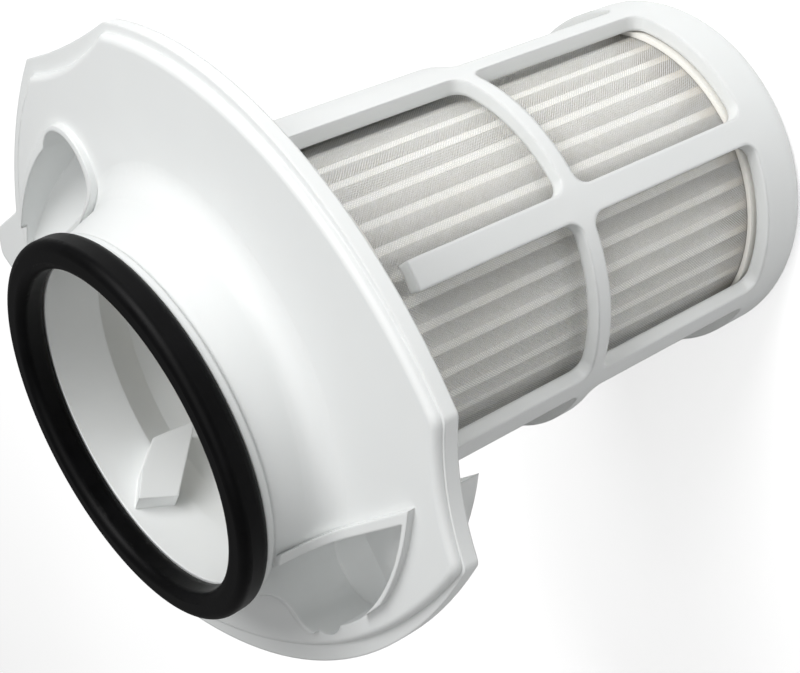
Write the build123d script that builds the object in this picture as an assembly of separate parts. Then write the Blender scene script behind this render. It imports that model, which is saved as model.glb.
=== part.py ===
from build123d import *
import math
import os

# Vacuum exhaust filter, stood on the closed end of its cage.
# +Z is the axis of the cage, z = 0 is the flat closed end and the rubber seal is on top.
# All lengths are in mm and all angles in degrees.

# ---- cage
CAGE_R_BASE = 31.9
CAGE_R_OPEN = 32.6
CAGE_TOP = 96.5
CAGE_WALL = 2.6
CAGE_FLOOR = 2.4
CAGE_END_ROUND = 3.8
RIB_COUNT = 6
RIB_WIDTH = 4.9
RIB_TURN = -92.0
MID_RING_Z = 50.5
MID_RING_WIDTH = 2.7
WINDOW_LOW = 10.5
WINDOW_HIGH = 88.5
WINDOW_CORNER = 2.4
BLANK_PANEL = 1
FREE_RIBS = (0, 3)
RIB_END_Z = 84.2

# ---- snap fit between the head and the cage
LUG_COUNT = 3
LUG_TURN = 28.0
LUG_WIDTH = 9.0
LUG_LOW = 93.0
LUG_HIGH = 95.2
LUG_PROUD = 1.5
LUG_GAP = 0.3

# ---- pleated pack and its two end cups
PACK_CLEARANCE = 0.35
CUP_FLOOR = 1.6
CUP_RIM = 0.9
CUP_RIM_HEIGHT = 8.9
TOP_CUP_RIM_HEIGHT = 5.0
TOP_CUP_Z = 91.0
PLEAT_COUNT = 40
PLEAT_INNER_R = 18.5
PLEAT_SHEET = 0.55
PLEAT_CREST_SHARE = 0.16
PLEAT_ROOT_SHARE = 0.16
GAUZE = 0.25
GAUZE_GAP = 0.05

# ---- flange plate of the head
RIM_LOW = 105.0
RIM_HEIGHT = 2.2
PLATE_RISE = 1.3
PLATE_THICK = 2.4
RIM_WALL = 1.7
LEDGE_WIDTH = 2.8
LEDGE_NARROW = 1.4
PLATE_EDGE_ROUND = 1.1
OUTLINE_ROUND = 1.6
PLATE_CORNER = 3.0
NOTCH_LEDGE = 0.4

# Rim outline: angle round the cage axis and distance from it.
RIM_POINTS = {
    "notch_a_start": (8.0, 57.4),
    "notch_a_deep": (-10.0, 53.2),
    "notch_a_end": (-24.0, 55.0),
    "side_b": (-62.0, 55.5),
    "notch_c_start": (-108.0, 64.3),
    "notch_c_deep": (-116.5, 61.6),
    "notch_c_end": (-127.5, 63.6),
    "side_d": (-171.0, 49.6),
    "notch_e_start": (126.0, 61.2),
    "notch_e_deep": (116.5, 58.6),
    "notch_e_end": (106.0, 60.6),
    "side_f": (84.0, 57.4),
    "tab_root_1": (63.0, 58.8),
    "tab_tip_1": (57.0, 68.0),
    "tab_tip_2": (52.5, 67.5),
    "tab_root_2": (45.5, 57.8),
    "side_g": (27.0, 56.6),
    "side_fg": (57.0, 57.2),
}
NARROW_LEDGE = ("notch_a_end", "side_b")

# ---- neck, standing off the cage axis and canted towards -X
NECK_X = -3.8
NECK_Y = -2.7
NECK_CANT = 3.3
NECK_R_TOP = 29.5
NECK_SPREAD = 3.2
NECK_FLARE = 5.0
COLLAR_THICK = 1.2
COLLAR_PROUD = 0.6
NECK_BORE_R = 26.9
NECK_BORE_DEPTH = 9.8
SKIRT_WALL = 1.8
SKIRT_CLEARANCE = 0.5

# ---- rubber seal
SEAL_SEAT = 119.4
SEAL_R = 31.1
SEAL_BORE_R = 26.5
SEAL_THICK = 4.8
SEAL_ROUND = 1.5
SPIGOT_R_IN = 28.1
SPIGOT_R_OUT = 29.3
SPIGOT_HEIGHT = 1.8
SEAL_GROOVE_GAP = 0.1

# ---- grip pockets, given for the one that cuts into the neck
POCKET_STRAIGHT_X = -30.4
POCKET_BULGE_X = -43.2
POCKET_END_Y = -0.8
POCKET_TIP_Y = -44.5
POCKET_WALL = 1.5
POCKET_LIP = 1.1
POCKET_FLOOR = 99.0
POCKET_CEILING = 116.0

# ---- guide vane inside the neck: distance round the wall, and height against the seal's seat
VANE_TURN = 110.0
VANE_DEPTH = 4.2
VANE_POINTS = [(-4.5, -17.4), (-5.2, -9.3), (-1.4, -4.5), (2.8, -1.2), (5.7, -7.0)]

SEAM = 0.02
LEDGE_TOP = RIM_LOW + RIM_HEIGHT
PLATE_TOP = LEDGE_TOP + PLATE_RISE
PLATE_UNDER = PLATE_TOP - PLATE_THICK
NECK = Pos(NECK_X, NECK_Y, SEAL_SEAT) * Rot(0, -NECK_CANT, 0)


def polar(angle, radius):
    a = math.radians(angle)
    return (radius * math.cos(a), radius * math.sin(a))


def cage_radius(z):
    return CAGE_R_BASE + (CAGE_R_OPEN - CAGE_R_BASE) * z / CAGE_TOP


def disc(radius, low, high):
    return Pos(0, 0, low) * Cylinder(radius, high - low, align=(Align.CENTER, Align.CENTER, Align.MIN))


def cone(low_r, high_r, low, high):
    return Pos(0, 0, low) * Cone(low_r, high_r, high - low, align=(Align.CENTER, Align.CENTER, Align.MIN))


def turned(profile_points, angle=360.0):
    face = make_face(Polyline(*[(r, 0, z) for r, z in profile_points], close=True))
    return revolve(face, axis=Axis.Z, revolution_arc=angle)


# One window opening, cut through the wall between two ribs.
def window(index, low, high):
    gap = math.degrees(RIB_WIDTH / CAGE_R_OPEN)
    span = 360.0 / RIB_COUNT - gap
    inner = CAGE_R_BASE - 2 * CAGE_WALL
    outer = CAGE_R_OPEN + CAGE_WALL
    ring = turned([(inner, low), (outer, low), (outer, high), (inner, high)], span)
    corners = [e for e in ring.edges().filter_by(GeomType.LINE) if abs(e.tangent_at(0.5).Z) < 0.5]
    ring = fillet(corners, WINDOW_CORNER)
    start = RIB_TURN + index * 360.0 / RIB_COUNT + gap / 2
    return Rot(0, 0, start) * ring


# Two ribs stop short of the top ring, so that the cage can spring over the lugs.
def rib_end_gap(index):
    box = Box(4 * CAGE_WALL, RIB_WIDTH * 1.4, WINDOW_HIGH - RIB_END_Z)
    z = (WINDOW_HIGH + RIB_END_Z) / 2
    return Rot(0, 0, RIB_TURN + index * 360.0 / RIB_COUNT) * Pos(cage_radius(z) - CAGE_WALL / 2, 0, z) * box


def lug_slot(index):
    box = Box(4 * CAGE_WALL, LUG_WIDTH + 2 * LUG_GAP, LUG_HIGH - LUG_LOW + 2 * LUG_GAP)
    turn = LUG_TURN + index * 360.0 / LUG_COUNT
    return Rot(0, 0, turn) * Pos(CAGE_R_OPEN - CAGE_WALL / 2, 0, (LUG_LOW + LUG_HIGH) / 2) * box


def make_cage():
    shell = cone(CAGE_R_BASE, CAGE_R_OPEN, 0, CAGE_TOP)
    shell = fillet(shell.edges().group_by(Axis.Z)[0], CAGE_END_ROUND)
    shell -= cone(CAGE_R_BASE - CAGE_WALL, CAGE_R_OPEN - CAGE_WALL, CAGE_FLOOR, CAGE_TOP)
    rows = [
        (WINDOW_LOW, MID_RING_Z - MID_RING_WIDTH / 2, False),
        (MID_RING_Z + MID_RING_WIDTH / 2, WINDOW_HIGH, True),
    ]
    for low, high, blanked in rows:
        for i in range(RIB_COUNT):
            if not (blanked and i == BLANK_PANEL):
                shell -= window(i, low, high)
    for i in FREE_RIBS:
        shell -= rib_end_gap(i)
    for i in range(LUG_COUNT):
        shell -= lug_slot(i)
    return shell


PACK_R = CAGE_R_BASE - CAGE_WALL - PACK_CLEARANCE
SKIRT_R = CAGE_R_OPEN - CAGE_WALL - SKIRT_CLEARANCE
SKIRT_LOW = TOP_CUP_Z + CUP_FLOOR
GAUZE_R = PACK_R - CUP_RIM - GAUZE_GAP


def make_lower_cup():
    top = CAGE_FLOOR + CUP_RIM_HEIGHT
    cup = disc(PACK_R, CAGE_FLOOR, top)
    return cup - disc(PACK_R - CUP_RIM, CAGE_FLOOR + CUP_FLOOR, top)


def make_upper_cup():
    low = TOP_CUP_Z - TOP_CUP_RIM_HEIGHT
    cup = disc(PACK_R, low, TOP_CUP_Z + CUP_FLOOR)
    cup -= disc(PACK_R - CUP_RIM, low, TOP_CUP_Z)
    return cup - disc(PLEAT_INNER_R, TOP_CUP_Z, TOP_CUP_Z + CUP_FLOOR)


# The gauze: a fine net wrapped round the pleats and held in the two cups.
def make_gauze():
    low = CAGE_FLOOR + CUP_FLOOR
    return disc(GAUZE_R, low, TOP_CUP_Z) - disc(GAUZE_R - GAUZE, low, TOP_CUP_Z)


# The folded sheet: a closed zigzag with flat crests and roots.
def zigzag(crest_r, root_r, crest_share, root_share):
    step = 360.0 / PLEAT_COUNT
    points = []
    for i in range(PLEAT_COUNT):
        at = i * step
        points.append(polar(at - crest_share * step, crest_r))
        points.append(polar(at + crest_share * step, crest_r))
        points.append(polar(at + (0.5 - root_share) * step, root_r))
        points.append(polar(at + (0.5 + root_share) * step, root_r))
    return make_face(Polyline(*points, close=True))


def make_pleats():
    crest_r = GAUZE_R - GAUZE - GAUZE_GAP
    low = CAGE_FLOOR + CUP_FLOOR
    slim = math.degrees(PLEAT_SHEET / crest_r) * PLEAT_COUNT / 360.0
    wide = math.degrees(PLEAT_SHEET / PLEAT_INNER_R) * PLEAT_COUNT / 360.0
    outer = zigzag(crest_r, PLEAT_INNER_R + PLEAT_SHEET, PLEAT_CREST_SHARE, PLEAT_ROOT_SHARE)
    inner = zigzag(crest_r - PLEAT_SHEET, PLEAT_INNER_R, max(PLEAT_CREST_SHARE - slim, 0.03), PLEAT_ROOT_SHARE + wide)
    return Pos(0, 0, low) * extrude(outer - inner, TOP_CUP_Z - low)


# The rim outline, pulled in by one width all round and by another at the shallow notch.
def rim_face(inset=0.0, notch_inset=0.0, narrow_inset=0.0, tab=True, corner=OUTLINE_ROUND):
    p = {}
    for name, (angle, radius) in RIM_POINTS.items():
        if name.startswith("notch_c"):
            radius -= notch_inset
        elif name in NARROW_LEDGE:
            radius -= narrow_inset
        else:
            radius -= inset
        p[name] = polar(angle, radius)
    edges = [
        ThreePointArc(p["notch_a_start"], p["notch_a_deep"], p["notch_a_end"]),
        ThreePointArc(p["notch_a_end"], p["side_b"], p["notch_c_start"]),
        ThreePointArc(p["notch_c_start"], p["notch_c_deep"], p["notch_c_end"]),
        ThreePointArc(p["notch_c_end"], p["side_d"], p["notch_e_start"]),
        ThreePointArc(p["notch_e_start"], p["notch_e_deep"], p["notch_e_end"]),
    ]
    if tab:
        edges += [
            ThreePointArc(p["notch_e_end"], p["side_f"], p["tab_root_1"]),
            Line(p["tab_root_1"], p["tab_tip_1"]),
            Line(p["tab_tip_1"], p["tab_tip_2"]),
            Line(p["tab_tip_2"], p["tab_root_2"]),
            ThreePointArc(p["tab_root_2"], p["side_g"], p["notch_a_start"]),
        ]
    else:
        edges.append(ThreePointArc(p["notch_e_end"], p["side_fg"], p["notch_a_start"]))
    face = make_face(edges)
    return fillet(face.vertices(), corner)


def slab(face, low, high):
    return Pos(0, 0, low) * extrude(face, high - low, dir=(0, 0, 1))


# The plate: a thin ledge round the edge and a raised, rounded middle inside it.
def make_plate():
    ledge = slab(rim_face(), RIM_LOW, LEDGE_TOP)
    raised = slab(rim_face(LEDGE_WIDTH, NOTCH_LEDGE, LEDGE_NARROW, False, PLATE_CORNER), RIM_LOW, PLATE_TOP)
    raised = fillet(raised.edges().group_by(Axis.Z)[-1], PLATE_EDGE_ROUND)
    return ledge + raised - slab(plate_hollow(), RIM_LOW, PLATE_UNDER)


def plate_hollow():
    return rim_face(RIM_WALL, RIM_WALL, RIM_WALL, False, PLATE_CORNER)


# The neck: a canted cone that stands on a plate and runs out on it in a wide fillet.
def with_neck(plate, plate_top, grow=0.0):
    height = SEAL_SEAT - PLATE_UNDER + NECK_FLARE
    slope = NECK_SPREAD / (SEAL_SEAT - PLATE_TOP)
    top_r = NECK_R_TOP + grow
    cone_solid = cone(top_r + slope * height, top_r, -height, -COLLAR_THICK)
    cone_solid = NECK * cone_solid & disc(3 * NECK_R_TOP, PLATE_UNDER + SEAM, 2 * SEAL_SEAT)
    body = plate + cone_solid
    foot = []
    for edge in body.edges():
        flat = abs(edge.bounding_box().max.Z - plate_top) < SEAM and abs(edge.bounding_box().min.Z - plate_top) < SEAM
        if flat and edge.distance_to(Vertex(NECK_X, NECK_Y, plate_top)) < NECK_R_TOP + NECK_FLARE + grow:
            foot.append(edge)
    return fillet(foot, NECK_FLARE)


def pocket_face(grow=0.0):
    s = POCKET_STRAIGHT_X + grow
    b = POCKET_BULGE_X - grow
    end = POCKET_END_Y + grow
    tip = POCKET_TIP_Y - 2 * grow
    middle = (s + b) / 2
    edges = [
        Line((s, end - 7.5), (s, tip)),
        ThreePointArc((s, tip), (middle - 1.8, tip + 12.5 + grow), (b, end - 11)),
        ThreePointArc((b, end - 11), (middle - 1.0, end), (s, end - 7.5)),
    ]
    return make_face(edges)


def pocket_places(shape):
    return [shape, Rot(0, 0, 180) * shape]


# The floor of a pocket rises from the deep end to the plate at the tip.
def pocket_cut():
    prism = slab(pocket_face(), POCKET_FLOOR, POCKET_CEILING)
    length = POCKET_END_Y - POCKET_TIP_Y
    rise = PLATE_TOP - POCKET_FLOOR
    ramp = make_face(
        Polyline(
            (0, POCKET_END_Y - 12, POCKET_FLOOR - SEAM),
            (0, POCKET_TIP_Y - 2, POCKET_FLOOR - SEAM),
            (0, POCKET_TIP_Y - 2, POCKET_FLOOR + rise),
            (0, POCKET_TIP_Y + length * 0.12, POCKET_FLOOR + rise * 0.86),
            close=True,
        )
    )
    wedge = Pos(POCKET_BULGE_X - 5, 0, 0) * extrude(ramp, 40, dir=(1, 0, 0))
    return prism - wedge


def make_vane():
    root = 4.0
    face = make_face(Polyline(*[(0, s, z) for s, z in VANE_POINTS], close=True))
    blade = extrude(face, VANE_DEPTH + root, dir=(-1, 0, 0))
    return NECK * Rot(0, 0, VANE_TURN) * Pos(NECK_BORE_R + root, 0, 0) * blade


def make_head():
    head = with_neck(make_plate(), PLATE_TOP)
    lip_face = rim_face(2 * LEDGE_WIDTH, 2 * LEDGE_WIDTH, 2 * LEDGE_WIDTH, False, PLATE_CORNER)
    proud = with_neck(slab(lip_face, PLATE_UNDER, PLATE_TOP + POCKET_LIP), PLATE_TOP + POCKET_LIP, POCKET_LIP)
    for place in pocket_places(slab(pocket_face(POCKET_WALL), PLATE_UNDER, POCKET_CEILING)):
        head += place & proud
    head += NECK * disc(NECK_R_TOP + COLLAR_PROUD, -COLLAR_THICK, 0)
    head += NECK * disc(SPIGOT_R_OUT, -COLLAR_THICK, SPIGOT_HEIGHT)
    head += disc(SKIRT_R, SKIRT_LOW, PLATE_UNDER + SEAM)
    vane = make_vane() & head
    head -= air_way()
    for place in pocket_places(slab(pocket_face(POCKET_WALL), POCKET_FLOOR - POCKET_WALL, POCKET_CEILING)):
        head += place & pocket_room()
    for place in pocket_places(pocket_cut()):
        head -= place
    head += vane
    for i in range(LUG_COUNT):
        head += snap_lug(i)
    return head


# The hollow of the head: the canted bore, the change to the round skirt, and the skirt.
def air_way():
    bore_r = SKIRT_R - SKIRT_WALL
    hollow = NECK * disc(NECK_BORE_R, -NECK_BORE_DEPTH, SEAM)
    hollow += NECK * disc(SPIGOT_R_IN, 0, SPIGOT_HEIGHT + SEAM)
    upper = NECK * Pos(0, 0, -NECK_BORE_DEPTH) * Circle(NECK_BORE_R)
    lower = Pos(0, 0, RIM_LOW - 1.0) * Circle(bore_r)
    return hollow + loft([lower, upper]) + disc(bore_r, SKIRT_LOW, RIM_LOW - 1.0)


# Space inside the neck and under the plate in which the pocket shells may stand.
def pocket_room():
    under = slab(plate_hollow(), POCKET_FLOOR - POCKET_WALL, PLATE_UNDER + SEAM)
    return under + NECK * disc(NECK_BORE_R + 0.5, -2 * NECK_BORE_DEPTH, -COLLAR_THICK)


def snap_lug(index):
    r = SKIRT_R - 0.6
    side = make_face(
        Polyline(
            (0, 0, LUG_LOW),
            (LUG_PROUD + 0.6, 0, LUG_HIGH - 0.8),
            (LUG_PROUD + 0.6, 0, LUG_HIGH),
            (0, 0, LUG_HIGH),
            close=True,
        )
    )
    lug = extrude(side, LUG_WIDTH / 2, both=True)
    return Rot(0, 0, LUG_TURN + index * 360.0 / LUG_COUNT) * Pos(r, 0, 0) * lug


def make_seal():
    ring = disc(SEAL_R, 0, SEAL_THICK) - disc(SEAL_BORE_R, 0, SEAL_THICK)
    ring = fillet(ring.edges().filter_by(GeomType.CIRCLE), SEAL_ROUND)
    depth = SPIGOT_HEIGHT + SEAL_GROOVE_GAP
    groove = disc(SPIGOT_R_OUT + SEAL_GROOVE_GAP, 0, depth) - disc(SPIGOT_R_IN - SEAL_GROOVE_GAP, 0, depth)
    return NECK * (ring - groove)


PARTS = {
    "cage": make_cage,
    "lower_cup": make_lower_cup,
    "upper_cup": make_upper_cup,
    "pleats": make_pleats,
    "gauze": make_gauze,
    "head": make_head,
    "seal": make_seal,
}

os.makedirs("parts", exist_ok=True)
for name, build in PARTS.items():
    shape = build()
    export_step(shape, "parts/" + name + ".step")
    print(name, len(shape.solids()), "solid, volume", round(shape.volume, 1))
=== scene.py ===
# %% [markdown]
# # A vacuum cleaner's exhaust filter
# The object is a white plastic cage round a folded paper pack. A wide plate
# with a round neck closes one end, and a black rubber ring sits on the neck.
# The solid model gives every shape and place. This script gives the finishes,
# the floor, the light and the camera.

# %% Load the solid model
import bpy
import bmesh
import math
from mathutils import Matrix, Vector


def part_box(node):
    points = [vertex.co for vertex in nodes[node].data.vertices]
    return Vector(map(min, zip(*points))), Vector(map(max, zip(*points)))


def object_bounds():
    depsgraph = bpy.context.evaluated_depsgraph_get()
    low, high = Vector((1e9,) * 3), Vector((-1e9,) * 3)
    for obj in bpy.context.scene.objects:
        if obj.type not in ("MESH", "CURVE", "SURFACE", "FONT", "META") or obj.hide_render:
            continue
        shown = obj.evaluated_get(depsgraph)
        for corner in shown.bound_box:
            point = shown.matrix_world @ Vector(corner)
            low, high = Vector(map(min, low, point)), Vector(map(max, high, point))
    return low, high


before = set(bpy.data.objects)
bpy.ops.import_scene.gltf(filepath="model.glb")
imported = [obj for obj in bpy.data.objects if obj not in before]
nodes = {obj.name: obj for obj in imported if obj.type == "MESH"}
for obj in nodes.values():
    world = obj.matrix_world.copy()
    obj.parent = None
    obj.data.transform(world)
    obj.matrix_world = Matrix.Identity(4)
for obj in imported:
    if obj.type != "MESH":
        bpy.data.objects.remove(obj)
solid_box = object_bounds()
MM = 0.001
print("nodes", sorted(nodes))
print("solid model's box", solid_box)

# %% [markdown]
# ## Small helpers for materials
# Each finish below is a node tree. Typing out every link makes such a tree hard
# to read, so short helpers add a node, set its sockets and link it. They only
# save typing: everything they make can be opened in the shader editor. A colour
# Mix node has several sockets of the same name, so its sockets go by number.

# %% Node helpers
MIX_FACTOR, MIX_A, MIX_B = 0, 6, 7
MIX_RESULT = 2


def add_node(tree, kind, **inputs):
    node = tree.nodes.new(kind)
    for name, value in inputs.items():
        node.inputs[name.replace("_", " ")].default_value = value
    return node


def add_math(tree, operation):
    node = tree.nodes.new("ShaderNodeMath")
    node.operation = operation
    return node


def add_mix(tree, blend="MIX"):
    node = tree.nodes.new("ShaderNodeMix")
    node.data_type = "RGBA"
    node.blend_type = blend
    return node


def link(tree, source, socket_out, target, socket_in):
    tree.links.new(source.outputs[socket_out], target.inputs[socket_in])


def ramp(tree, stops):
    node = tree.nodes.new("ShaderNodeValToRGB")
    bar = node.color_ramp
    while len(bar.elements) < len(stops):
        bar.elements.new(0.5)
    for element, (place, colour) in zip(bar.elements, stops):
        element.position = place
        element.color = colour
    return node


def new_material(name):
    material = bpy.data.materials.new(name)
    material.use_nodes = True
    tree = material.node_tree
    return material, tree, tree.nodes["Principled BSDF"]


# %% [markdown]
# ## The moulded skin, shared by all the plastics
# An injection moulding is never quite even. The tool leaves a very fine grain,
# the surface waves a little where the plastic shrank, and the shade drifts by a
# few percent. One node group holds these three and hands out a shade, a
# roughness and a normal, so that each plastic only picks its own strengths.


# %% Node group: moulded skin
def make_skin_group():
    tree = bpy.data.node_groups.new("moulded skin", "ShaderNodeTree")
    ui = tree.interface
    ui.new_socket("Grain Scale", in_out="INPUT", socket_type="NodeSocketFloat").default_value = 2500.0
    ui.new_socket("Grain Height", in_out="INPUT", socket_type="NodeSocketFloat").default_value = 0.05
    ui.new_socket("Normal", in_out="INPUT", socket_type="NodeSocketVector")
    ui.new_socket("Shade", in_out="OUTPUT", socket_type="NodeSocketFloat")
    ui.new_socket("Roughness", in_out="OUTPUT", socket_type="NodeSocketFloat")
    ui.new_socket("Normal", in_out="OUTPUT", socket_type="NodeSocketVector")
    given = tree.nodes.new("NodeGroupInput")
    out = tree.nodes.new("NodeGroupOutput")
    where = tree.nodes.new("ShaderNodeTexCoord")

    drift = add_node(tree, "ShaderNodeTexNoise", Scale=22.0, Detail=3.0, Roughness=0.55)
    link(tree, where, "Object", drift, "Vector")
    shade = add_node(tree, "ShaderNodeMapRange", To_Min=0.94, To_Max=1.03)
    link(tree, drift, "Fac", shade, "Value")
    link(tree, shade, "Result", out, "Shade")

    smear = add_node(tree, "ShaderNodeTexNoise", Scale=60.0, Detail=4.0, Roughness=0.6)
    link(tree, where, "Object", smear, "Vector")
    rough = add_node(tree, "ShaderNodeMapRange", To_Min=0.34, To_Max=0.50)
    link(tree, smear, "Fac", rough, "Value")
    link(tree, rough, "Result", out, "Roughness")

    grain = add_node(tree, "ShaderNodeTexNoise", Detail=2.0, Roughness=0.5)
    link(tree, where, "Object", grain, "Vector")
    link(tree, given, "Grain Scale", grain, "Scale")
    wave = add_node(tree, "ShaderNodeTexNoise", Scale=45.0, Detail=1.0)
    link(tree, where, "Object", wave, "Vector")
    fine = add_node(tree, "ShaderNodeBump", Distance=0.00005)
    link(tree, grain, "Fac", fine, "Height")
    link(tree, given, "Grain Height", fine, "Strength")
    link(tree, given, "Normal", fine, "Normal")
    broad = add_node(tree, "ShaderNodeBump", Strength=0.25, Distance=0.0004)
    link(tree, wave, "Fac", broad, "Height")
    link(tree, fine, "Normal", broad, "Normal")
    link(tree, broad, "Normal", out, "Normal")
    return tree


skin_group = make_skin_group()
print(skin_group.name, "has", len(skin_group.nodes), "nodes")

# %% [markdown]
# ## Painted edge colour
# A bevel node rounds the normal near an edge, so where the rounded normal and
# the true one differ there is an edge. The group turns that difference into a
# mask, which the plastics use to paint their edges: a painted highlight on the white head and cage, and
# a little darker on the cream cups.


# %% Node group: edge mask
def make_edge_group():
    tree = bpy.data.node_groups.new("edge mask", "ShaderNodeTree")
    ui = tree.interface
    ui.new_socket("Rounded Normal", in_out="INPUT", socket_type="NodeSocketVector")
    ui.new_socket("Mask", in_out="OUTPUT", socket_type="NodeSocketFloat")
    given = tree.nodes.new("NodeGroupInput")
    out = tree.nodes.new("NodeGroupOutput")
    true_side = tree.nodes.new("ShaderNodeNewGeometry")
    agree = tree.nodes.new("ShaderNodeVectorMath")
    agree.operation = "DOT_PRODUCT"
    link(tree, given, "Rounded Normal", agree, 0)
    link(tree, true_side, "Normal", agree, 1)
    spread = add_node(tree, "ShaderNodeMapRange", From_Min=0.995, From_Max=0.75)
    link(tree, agree, "Value", spread, "Value")
    link(tree, spread, "Result", out, "Mask")
    return tree


edge_group = make_edge_group()
print(edge_group.name, "has", len(edge_group.nodes), "nodes")

# %% [markdown]
# ## Moulded plastic
# The head and the cage are a bright, slightly cool white with a soft satin
# gloss, and the two end cups are cream. Light goes a little way into such
# plastic, which softens its shadows, so the shader has some subsurface
# scattering. A moulding has no knife edges, so each plastic rounds its corners
# in the normal only: by 0.5 mm on the head, 0.9 mm on the cage and 0.3 mm on
# the cups.

# %% Materials: white and cream plastic
WHITE = (0.77, 0.785, 0.78, 1.0)
WHITE_GRAIN_SCALE = 2600.0
WHITE_GRAIN_HEIGHT = 0.08
PLASTIC_IOR = 1.49


def use_group(tree, group):
    node = tree.nodes.new("ShaderNodeGroup")
    node.node_tree = group
    return node


def plastic(name, colour, edge_colour, grain_scale, grain_height, corner):
    material, tree, shader = new_material(name)
    soft_edge = add_node(tree, "ShaderNodeBevel", Radius=corner)
    soft_edge.samples = 6
    skin = use_group(tree, skin_group)
    skin.inputs["Grain Scale"].default_value = grain_scale
    skin.inputs["Grain Height"].default_value = grain_height
    link(tree, soft_edge, "Normal", skin, "Normal")
    edge = use_group(tree, edge_group)
    link(tree, soft_edge, "Normal", edge, "Rounded Normal")

    # Painted highlight: the edge mask blends in edge_colour, lighter than the body on the white
    # plastics and a little darker on the cream cups.
    tint = add_mix(tree)
    tint.inputs[MIX_A].default_value = colour
    tint.inputs[MIX_B].default_value = edge_colour
    link(tree, edge, "Mask", tint, MIX_FACTOR)
    drift = add_mix(tree, "MULTIPLY")
    drift.inputs[MIX_FACTOR].default_value = 1.0
    link(tree, tint, MIX_RESULT, drift, MIX_A)
    link(tree, skin, "Shade", drift, MIX_B)
    link(tree, drift, MIX_RESULT, shader, "Base Color")
    link(tree, skin, "Roughness", shader, "Roughness")
    link(tree, skin, "Normal", shader, "Normal")
    shader.inputs["IOR"].default_value = PLASTIC_IOR
    shader.inputs["Subsurface Weight"].default_value = 0.08
    shader.inputs["Subsurface Radius"].default_value = (0.0012, 0.0011, 0.001)
    return material


# The second colour is painted along the edges: lighter on the head and the cage, as a painted
# highlight, and a little darker on the cream cups.
white_plastic = plastic(
    "white plastic", WHITE, (0.86, 0.87, 0.865, 1.0), WHITE_GRAIN_SCALE, WHITE_GRAIN_HEIGHT, 0.0005
)
cage_plastic = plastic(
    "white cage plastic", WHITE, (0.88, 0.89, 0.885, 1.0), WHITE_GRAIN_SCALE, WHITE_GRAIN_HEIGHT, 0.0009
)
cream_plastic = plastic(
    "cream plastic", (0.93, 0.912, 0.86, 1.0), (0.90, 0.89, 0.84, 1.0), 1800.0, 0.15, 0.0003
)
print("plastics:", white_plastic.name, "/", cage_plastic.name, "/", cream_plastic.name)

# %% [markdown]
# ## Black rubber
# The seal is a soft moulded ring. Rubber drinks most of the light and gives a
# wide, dull highlight, and a faint bloom of grey lies on it. The grain is
# coarser than on the plastic, so the highlight breaks up.

# %% Material: black rubber
RUBBER_GLOSS = 0.10


def rubber(name):
    material, tree, shader = new_material(name)
    where = tree.nodes.new("ShaderNodeTexCoord")
    bloom = add_node(tree, "ShaderNodeTexNoise", Scale=140.0, Detail=5.0, Roughness=0.65)
    link(tree, where, "Object", bloom, "Vector")
    colour = ramp(tree, [(0.35, (0.0008, 0.0008, 0.001, 1.0)), (0.75, (0.003, 0.003, 0.0034, 1.0))])
    link(tree, bloom, "Fac", colour, "Fac")
    link(tree, colour, "Color", shader, "Base Color")
    dull = add_node(tree, "ShaderNodeMapRange", To_Min=0.36, To_Max=0.56)
    link(tree, bloom, "Fac", dull, "Value")
    link(tree, dull, "Result", shader, "Roughness")
    grain = add_node(tree, "ShaderNodeTexNoise", Scale=1500.0, Detail=2.0)
    link(tree, where, "Object", grain, "Vector")
    rise = add_node(tree, "ShaderNodeBump", Strength=0.15, Distance=0.00006)
    link(tree, grain, "Fac", rise, "Height")
    link(tree, rise, "Normal", shader, "Normal")
    shader.inputs["Specular IOR Level"].default_value = RUBBER_GLOSS
    return material


black_rubber = rubber("black rubber")
print(black_rubber.name, "has", len(black_rubber.node_tree.nodes), "nodes")

# %% [markdown]
# ## Filter paper
# The pack is glass-fibre paper: off-white, matt and slightly hairy, with a
# fine pressed weave. It browns a little where it goes into the resin of the
# lower cup. The weave is two crossed waves, one along the axis and one on the
# slant, and a noise breaks them up so that it never looks printed.

# %% Material: filter paper
RESIN_REACH = 0.007
RESIN_BROWN = (0.52, 0.44, 0.33, 1.0)
WEAVE_SCALE = 330.0


def weave_wave(tree, where, direction):
    wave = add_node(tree, "ShaderNodeTexWave", Scale=WEAVE_SCALE, Distortion=2.0, Detail=2.0)
    wave.bands_direction = direction
    link(tree, where, "Object", wave, "Vector")
    return wave


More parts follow.
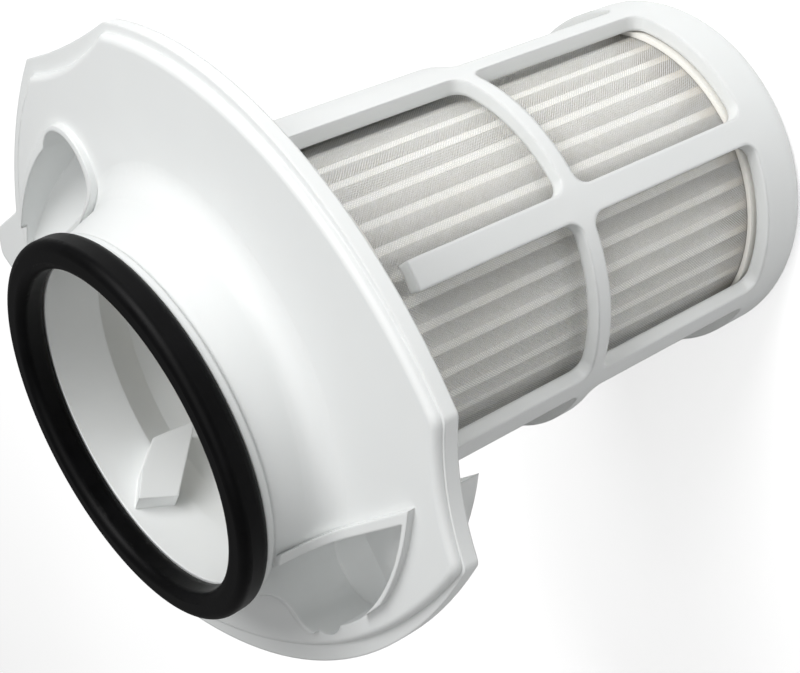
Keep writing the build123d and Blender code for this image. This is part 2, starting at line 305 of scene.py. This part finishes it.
def paper(name, low_z):
    material, tree, shader = new_material(name)
    where = tree.nodes.new("ShaderNodeTexCoord")
    fibre = add_node(tree, "ShaderNodeTexNoise", Scale=420.0, Detail=5.0, Roughness=0.7)
    link(tree, where, "Object", fibre, "Vector")
    blotch = add_node(tree, "ShaderNodeTexNoise", Scale=38.0, Detail=3.0)
    link(tree, where, "Object", blotch, "Vector")
    colour = ramp(tree, [(0.30, (0.94, 0.91, 0.845, 1.0)), (0.62, (0.98, 0.965, 0.915, 1.0))])
    link(tree, blotch, "Fac", colour, "Fac")

    split = tree.nodes.new("ShaderNodeSeparateXYZ")
    link(tree, where, "Object", split, "Vector")
    near_end = add_node(tree, "ShaderNodeMapRange", From_Min=low_z + RESIN_REACH, From_Max=low_z)
    near_end.interpolation_type = "SMOOTHSTEP"
    link(tree, split, "Z", near_end, "Value")
    brown = add_mix(tree)
    brown.inputs[MIX_B].default_value = RESIN_BROWN
    link(tree, near_end, "Result", brown, MIX_FACTOR)
    link(tree, colour, "Color", brown, MIX_A)
    link(tree, brown, MIX_RESULT, shader, "Base Color")

    across = weave_wave(tree, where, "Z")
    slanted = weave_wave(tree, where, "DIAGONAL")
    weave = add_math(tree, "MULTIPLY")
    link(tree, across, "Fac", weave, 0)
    link(tree, slanted, "Fac", weave, 1)
    cloth = add_math(tree, "ADD")
    link(tree, weave, "Value", cloth, 0)
    link(tree, fibre, "Fac", cloth, 1)
    rise = add_node(tree, "ShaderNodeBump", Strength=0.35, Distance=0.00012)
    link(tree, cloth, "Value", rise, "Height")
    link(tree, rise, "Normal", shader, "Normal")
    shader.inputs["Roughness"].default_value = 0.85
    shader.inputs["Specular IOR Level"].default_value = 0.25
    shader.inputs["Subsurface Weight"].default_value = 0.6
    shader.inputs["Subsurface Radius"].default_value = (0.004, 0.0037, 0.003)
    return material


cup_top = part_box("lower_cup")[1][2]
filter_paper = paper("filter paper", cup_top)
print("paper shows from", round(cup_top / MM, 1), "mm up")

# %% [markdown]
# ## The net round the pack
# A fine nylon net holds the folds in place. Modelled thread by thread it would
# need a million faces, so it is one thin tube whose alpha has holes in it: two
# families of diagonal stripes, wound the opposite way, make the threads. The
# angle round the axis and the height above the floor give the stripes, and the
# thread count is a whole number, so the net closes on itself without a seam.

# %% Material: nylon net
NET_PITCH = 0.52 * MM
THREAD_EDGE = (0.30, 0.44)
NET_COVER = (0.06, 0.62)


def stripes(tree, around, height, wobble, side):
    lean = add_math(tree, "MULTIPLY_ADD")
    link(tree, height, "Value", lean, 0)
    lean.inputs[1].default_value = side
    link(tree, around, "Value", lean, 2)
    bent = add_math(tree, "MULTIPLY_ADD")
    link(tree, wobble, "Fac", bent, 0)
    bent.inputs[1].default_value = 0.5
    link(tree, lean, "Value", bent, 2)
    fold = add_math(tree, "PINGPONG")
    link(tree, bent, "Value", fold, 0)
    fold.inputs[1].default_value = 0.5
    thread = add_node(tree, "ShaderNodeMapRange", From_Min=THREAD_EDGE[0], From_Max=THREAD_EDGE[1])
    thread.interpolation_type = "SMOOTHSTEP"
    link(tree, fold, "Value", thread, "Value")
    return thread


def net(name, thread_count, pitch):
    material, tree, shader = new_material(name)
    where = tree.nodes.new("ShaderNodeTexCoord")
    split = tree.nodes.new("ShaderNodeSeparateXYZ")
    link(tree, where, "Object", split, "Vector")
    angle = add_math(tree, "ARCTAN2")
    link(tree, split, "Y", angle, 0)
    link(tree, split, "X", angle, 1)
    around = add_math(tree, "MULTIPLY")
    link(tree, angle, "Value", around, 0)
    around.inputs[1].default_value = thread_count / (2.0 * math.pi)
    height = add_math(tree, "DIVIDE")
    link(tree, split, "Z", height, 0)
    height.inputs[1].default_value = pitch
    wobble = add_node(tree, "ShaderNodeTexNoise", Scale=160.0, Detail=2.0)
    link(tree, where, "Object", wobble, "Vector")
    left = stripes(tree, around, height, wobble, 1.0)
    right = stripes(tree, around, height, wobble, -1.0)
    threads = add_math(tree, "MAXIMUM")
    link(tree, left, "Result", threads, 0)
    link(tree, right, "Result", threads, 1)
    cover = add_node(tree, "ShaderNodeMapRange", To_Min=NET_COVER[0], To_Max=NET_COVER[1])
    link(tree, threads, "Value", cover, "Value")
    link(tree, cover, "Result", shader, "Alpha")

    glint = add_node(tree, "ShaderNodeTexNoise", Scale=900.0, Detail=2.0)
    link(tree, where, "Object", glint, "Vector")
    colour = ramp(tree, [(0.38, (0.93, 0.93, 0.895, 1.0)), (0.60, (0.98, 0.98, 0.965, 1.0))])
    link(tree, glint, "Fac", colour, "Fac")
    link(tree, colour, "Color", shader, "Base Color")
    gloss = add_node(tree, "ShaderNodeMapRange", To_Min=0.30, To_Max=0.62)
    link(tree, glint, "Fac", gloss, "Value")
    link(tree, gloss, "Result", shader, "Roughness")
    rise = add_node(tree, "ShaderNodeBump", Strength=0.5, Distance=0.0001)
    link(tree, threads, "Value", rise, "Height")
    link(tree, rise, "Normal", shader, "Normal")
    return material


net_low, net_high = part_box("gauze")
threads_round = round(math.pi * (net_high[0] - net_low[0]) / NET_PITCH)
nylon_net = net("nylon net", threads_round, NET_PITCH)
print("net of", threads_round, "threads each way round")

# %% [markdown]
# ## Putting the finishes on
# The solid model's own pieces keep their shape. Only their material slots
# change, so nothing moves.

# %% Assign materials
FINISHES = {
    "head": white_plastic,
    "cage": cage_plastic,
    "seal": black_rubber,
    "pleats": filter_paper,
    "gauze": nylon_net,
    "lower_cup": cream_plastic,
    "upper_cup": cream_plastic,
}
for name, material in FINISHES.items():
    mesh = nodes[name].data
    mesh.materials.clear()
    mesh.materials.append(material)
    print(name, "wears", material.name, "on", len(mesh.polygons), "faces")

# %% [markdown]
# ## The floor
# A plain pale floor catches the faint shadow. It is far larger than the filter,
# so its edge never shows in the picture. The filter stands on its closed end,
# so the floor is at the height of that end. The floor glows a little, for the
# camera only: it reads as white and yet throws no light on the filter.

# %% Floor
FLOOR_HALF_WIDTH = 3.0
FLOOR_GLOW = 0.55


def floor_finish():
    material, tree, shader = new_material("pale floor")
    where = tree.nodes.new("ShaderNodeTexCoord")
    cloud = add_node(tree, "ShaderNodeTexNoise", Scale=6.0, Detail=2.0)
    link(tree, where, "Object", cloud, "Vector")
    colour = ramp(tree, [(0.3, (0.93, 0.93, 0.93, 1.0)), (0.7, (0.95, 0.95, 0.95, 1.0))])
    link(tree, cloud, "Fac", colour, "Fac")
    link(tree, colour, "Color", shader, "Base Color")
    seen = tree.nodes.new("ShaderNodeLightPath")
    lift = add_mix(tree)
    lift.inputs[MIX_A].default_value = (0.0, 0.0, 0.0, 1.0)
    link(tree, seen, "Is Camera Ray", lift, MIX_FACTOR)
    link(tree, colour, "Color", lift, MIX_B)
    link(tree, lift, MIX_RESULT, shader, "Emission Color")
    shader.inputs["Emission Strength"].default_value = FLOOR_GLOW
    shader.inputs["Roughness"].default_value = 0.9
    return material


def make_floor(height, half_width):
    mesh = bpy.data.meshes.new("floor")
    sheet = bmesh.new()
    bmesh.ops.create_grid(sheet, x_segments=2, y_segments=2, size=half_width)
    bmesh.ops.translate(sheet, verts=sheet.verts, vec=(0.0, 0.0, height))
    sheet.to_mesh(mesh)
    sheet.free()
    floor = bpy.data.objects.new("floor", mesh)
    bpy.context.scene.collection.objects.link(floor)
    mesh.materials.append(floor_finish())
    return floor


floor = make_floor(solid_box[0][2], FLOOR_HALF_WIDTH)
print("floor", 2 * FLOOR_HALF_WIDTH, "m wide")

# %% [markdown]
# ## Soft studio light
# The object is white on white, so the light is broad and bright. A pale world
# fills every shadow. One large lamp stands on the +X side, which is the top of
# the picture, and a weaker one stands near the camera to open up the neck.

# %% Lights
LAMP_AIM = (0.0, 0.0, 0.07)
WORLD_STRENGTH = 0.20


def add_lamp(name, place, aim, size, power):
    lamp = bpy.data.lights.new(name, "AREA")
    lamp.shape = "DISK"
    lamp.size = size
    lamp.energy = power
    thing = bpy.data.objects.new(name, lamp)
    thing.location = place
    thing.rotation_euler = (Vector(aim) - Vector(place)).to_track_quat("-Z", "Y").to_euler()
    bpy.context.scene.collection.objects.link(thing)
    return thing


add_lamp("key", (0.52, -0.36, 0.56), LAMP_AIM, 0.60, 5.8)
add_lamp("fill", (-0.12, -0.40, 0.75), LAMP_AIM, 0.70, 2.0)

world = bpy.data.worlds.new("studio")
bpy.context.scene.world = world
world.use_nodes = True
sky = world.node_tree.nodes["Background"]
sky.inputs["Color"].default_value = (1.0, 1.0, 1.0, 1.0)
sky.inputs["Strength"].default_value = WORLD_STRENGTH
bpy.context.scene.view_settings.view_transform = "Standard"

# %% [markdown]
# ## The camera
# The picture shows the filter from the seal's side, looking down on the plate,
# with the cage running away to the upper right. The camera is rolled so that
# the object's +X side is up. Its look and up directions are at right angles, and
# the third direction follows from them.

# %% Camera
CAMERA_PLACE = Vector((-8.21, -221.87, 204.95)) * MM
CAMERA_LOOK = Vector((0.0, 0.85599, -0.51700))
CAMERA_UP = Vector((0.90649, -0.21829, -0.36142))
LENS_MM = 70.0
SENSOR_MM = 36.0

camera_data = bpy.data.cameras.new("camera")
camera_data.sensor_width = SENSOR_MM
camera_data.lens = LENS_MM
camera_data.clip_start = 0.01
camera = bpy.data.objects.new("camera", camera_data)
bpy.context.scene.collection.objects.link(camera)
right = CAMERA_LOOK.cross(CAMERA_UP).normalized()
up = right.cross(CAMERA_LOOK).normalized()
turn = Matrix((right, up, -CAMERA_LOOK.normalized())).transposed().to_4x4()
camera.matrix_world = Matrix.Translation(CAMERA_PLACE) @ turn
bpy.context.scene.camera = camera
print("camera", [round(v, 3) for v in camera.location], "lens", LENS_MM)
